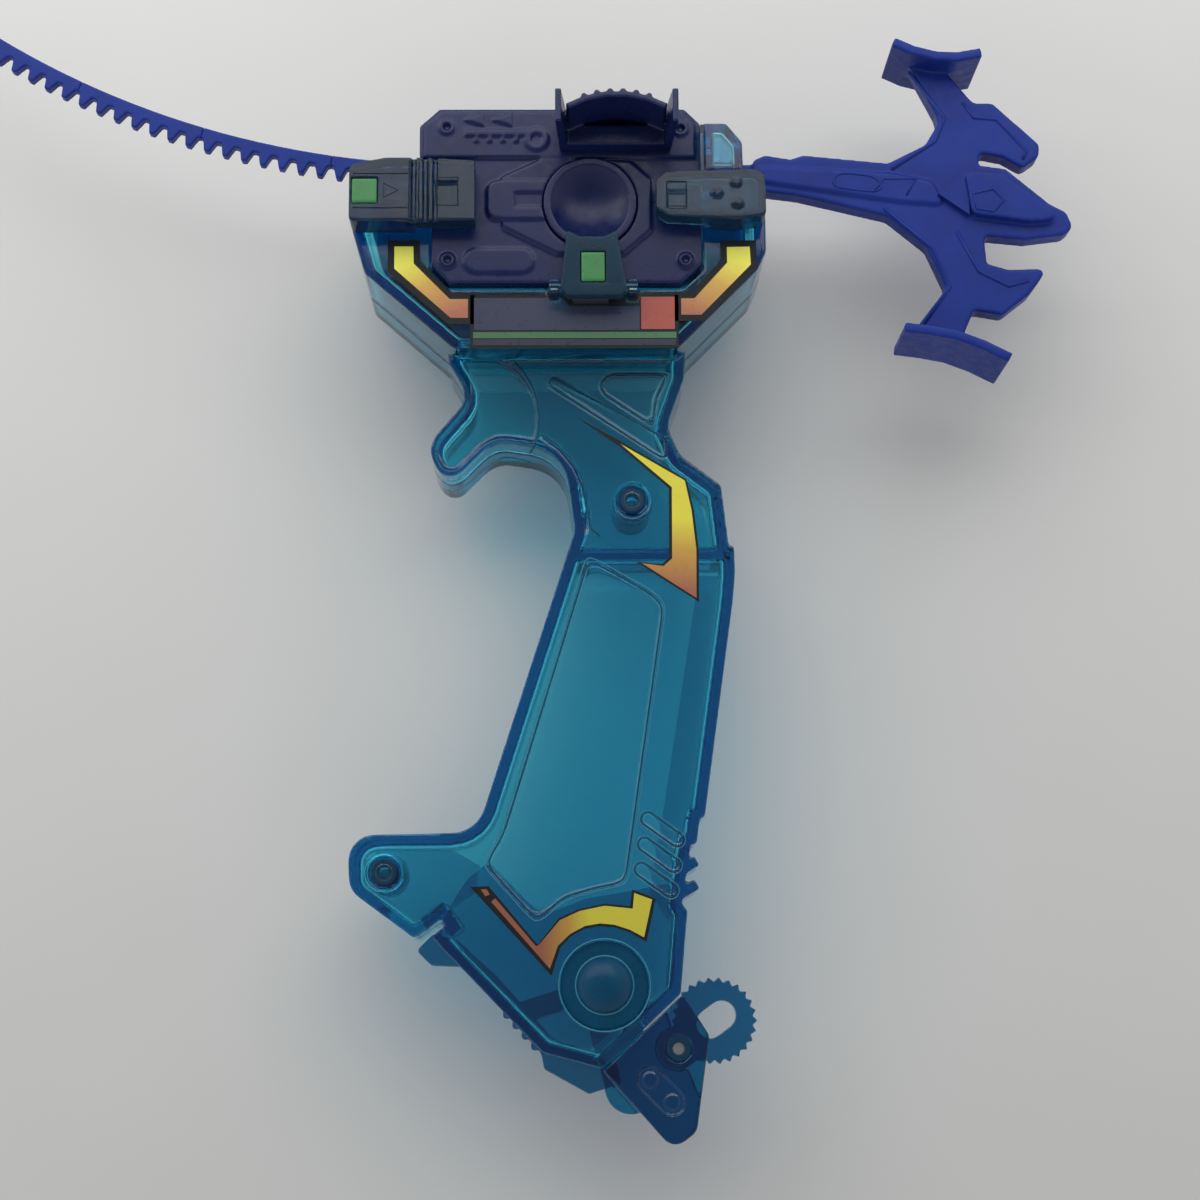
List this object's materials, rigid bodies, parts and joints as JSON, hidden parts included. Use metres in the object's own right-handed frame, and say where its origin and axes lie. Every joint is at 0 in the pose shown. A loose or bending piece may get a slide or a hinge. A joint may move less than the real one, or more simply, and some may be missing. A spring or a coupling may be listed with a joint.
{
  "type": "spinning top launcher",
  "caption": "Hand-held spinning top launcher: a clear pistol grip clamps a rack-and-gear launcher whose winged ripcord spins a pronged rotor.",
  "frame": {"origin": "on the launcher's spin axis, at the tip of the rotor's spigot, level with the table under the prongs and the rear foot", "axes": "+X the way the ripcord is pulled, +Y from the handle to the launcher, +Z along the spin axis to the dish"},
  "size_m": [0.2595, 0.2546, 0.0589],
  "materials": {
    "teal_clear": "clear tinted moulding",
    "navy": "satin moulding",
    "cord_blue": "satin moulding",
    "green_window": "satin moulding",
    "steel": "zinc plated",
    "bronze": "sintered",
    "white_plastic": "natural moulding",
    "rotor_dark": "moulded"
  },
  "bodies": {
    "grip": {"front_shell": "teal_clear", "rear_shell": "teal_clear", "grip_screws": "steel", "fixed_clamp": "teal_clear", "latch_pin": "teal_clear", "latch_spring": "steel", "hub_pin": "teal_clear", "hub_cap": "teal_clear", "rear_foot": "teal_clear", "tail_bracket": "teal_clear", "tail_screw": "steel", "launcher_front_cover": "navy", "launcher_rear_cover": "navy", "launcher_screws": "steel", "dish_cap": "navy", "ribbed_guard": "navy", "front_bush": "bronze", "rear_bush": "bronze", "rack_guide": "white_plastic"},
    "ripcord": {"ripcord": "cord_blue"},
    "drive": {"drive_shaft": "steel", "drive_gear": "white_plastic", "ratchet_disc": "white_plastic", "rotor": "rotor_dark", "rotor_spigot": "rotor_dark"},
    "lock": {"lock_slider": "teal_clear", "lock_window": "green_window"},
    "latch": {"release_latch": "teal_clear", "latch_window": "green_window"},
    "lever": {"swing_lever": "teal_clear"},
    "ring": {"lanyard_ring": "teal_clear"},
    "tail_1": {"strip_tail_1": "cord_blue"},
    "tail_2": {"strip_tail_2": "cord_blue"},
    "tail_3": {"strip_tail_3": "cord_blue"},
    "tail_4": {"strip_tail_4": "cord_blue"},
    "tail_5": {"strip_tail_5": "cord_blue"}
  },
  "joints": [
    {"name": "ripcord_pull", "type": "slide", "parent": "grip", "child": "ripcord", "axis": [1, 0, 0], "range_m": [0, 0.162], "deforming": ["strip_tail_1", "strip_tail_2", "strip_tail_3", "strip_tail_4", "strip_tail_5"]},
    {"name": "drive_spin", "type": "hinge", "parent": "grip", "child": "drive", "pos_m": [0, 0, 0.02], "axis": [0, 0, 1], "range_deg": [-895, 0]},
    {"name": "lock_slide", "type": "slide", "parent": "grip", "child": "lock", "axis": [-1, 0, 0], "range_m": [0, 0.009]},
    {"name": "latch_tilt", "type": "hinge", "parent": "grip", "child": "latch", "pos_m": [0, -0.01858, 0.04435], "axis": [1, 0, 0], "range_deg": [0, 35], "stiffness_Nm_per_rad": 0.02, "springref_deg": -8.59, "deforming": ["latch_spring"]},
    {"name": "lever_swing", "type": "hinge", "parent": "grip", "child": "lever", "pos_m": [0.00218, -0.15889, 0.0151], "axis": [0, 0, 1], "range_deg": [0, 40]},
    {"name": "ring_swing", "type": "hinge", "parent": "grip", "child": "ring", "pos_m": [0.01677, -0.17137, 0.0226], "axis": [0, 0, 1], "range_deg": [-30, 0]},
    {"name": "tail_bend_1", "type": "hinge", "parent": "ripcord", "child": "tail_1", "pos_m": [-0.02654, 0.01176, 0.02597], "axis": [0, 0, 1], "range_deg": [0, 4.35]},
    {"name": "tail_bend_2", "type": "hinge", "parent": "tail_1", "child": "tail_2", "pos_m": [-0.05501, 0.0139, 0.02597], "axis": [0, 0, 1], "range_deg": [0, 8.65]},
    {"name": "tail_bend_3", "type": "hinge", "parent": "tail_2", "child": "tail_3", "pos_m": [-0.08284, 0.02028, 0.02597], "axis": [0, 0, 1], "range_deg": [0, 8.65]},
    {"name": "tail_bend_4", "type": "hinge", "parent": "tail_3", "child": "tail_4", "pos_m": [-0.10941, 0.03074, 0.02597], "axis": [0, 0, 1], "range_deg": [0, 8.65]},
    {"name": "tail_bend_5", "type": "hinge", "parent": "tail_4", "child": "tail_5", "pos_m": [-0.13411, 0.04506, 0.02597], "axis": [0, 0, 1], "range_deg": [0, 8.65]}
  ],
  "couplings": [
    {"joint": "drive_spin", "follows": "ripcord_pull", "rad_per_m": -96.183},
    {"joint": "tail_bend_1", "follows": "ripcord_pull", "rad_per_m": 0.46327},
    {"joint": "tail_bend_2", "follows": "ripcord_pull", "rad_per_m": 0.92653},
    {"joint": "tail_bend_3", "follows": "ripcord_pull", "rad_per_m": 0.92653},
    {"joint": "tail_bend_4", "follows": "ripcord_pull", "rad_per_m": 0.92653},
    {"joint": "tail_bend_5", "follows": "ripcord_pull", "rad_per_m": 0.92653}
  ]
}
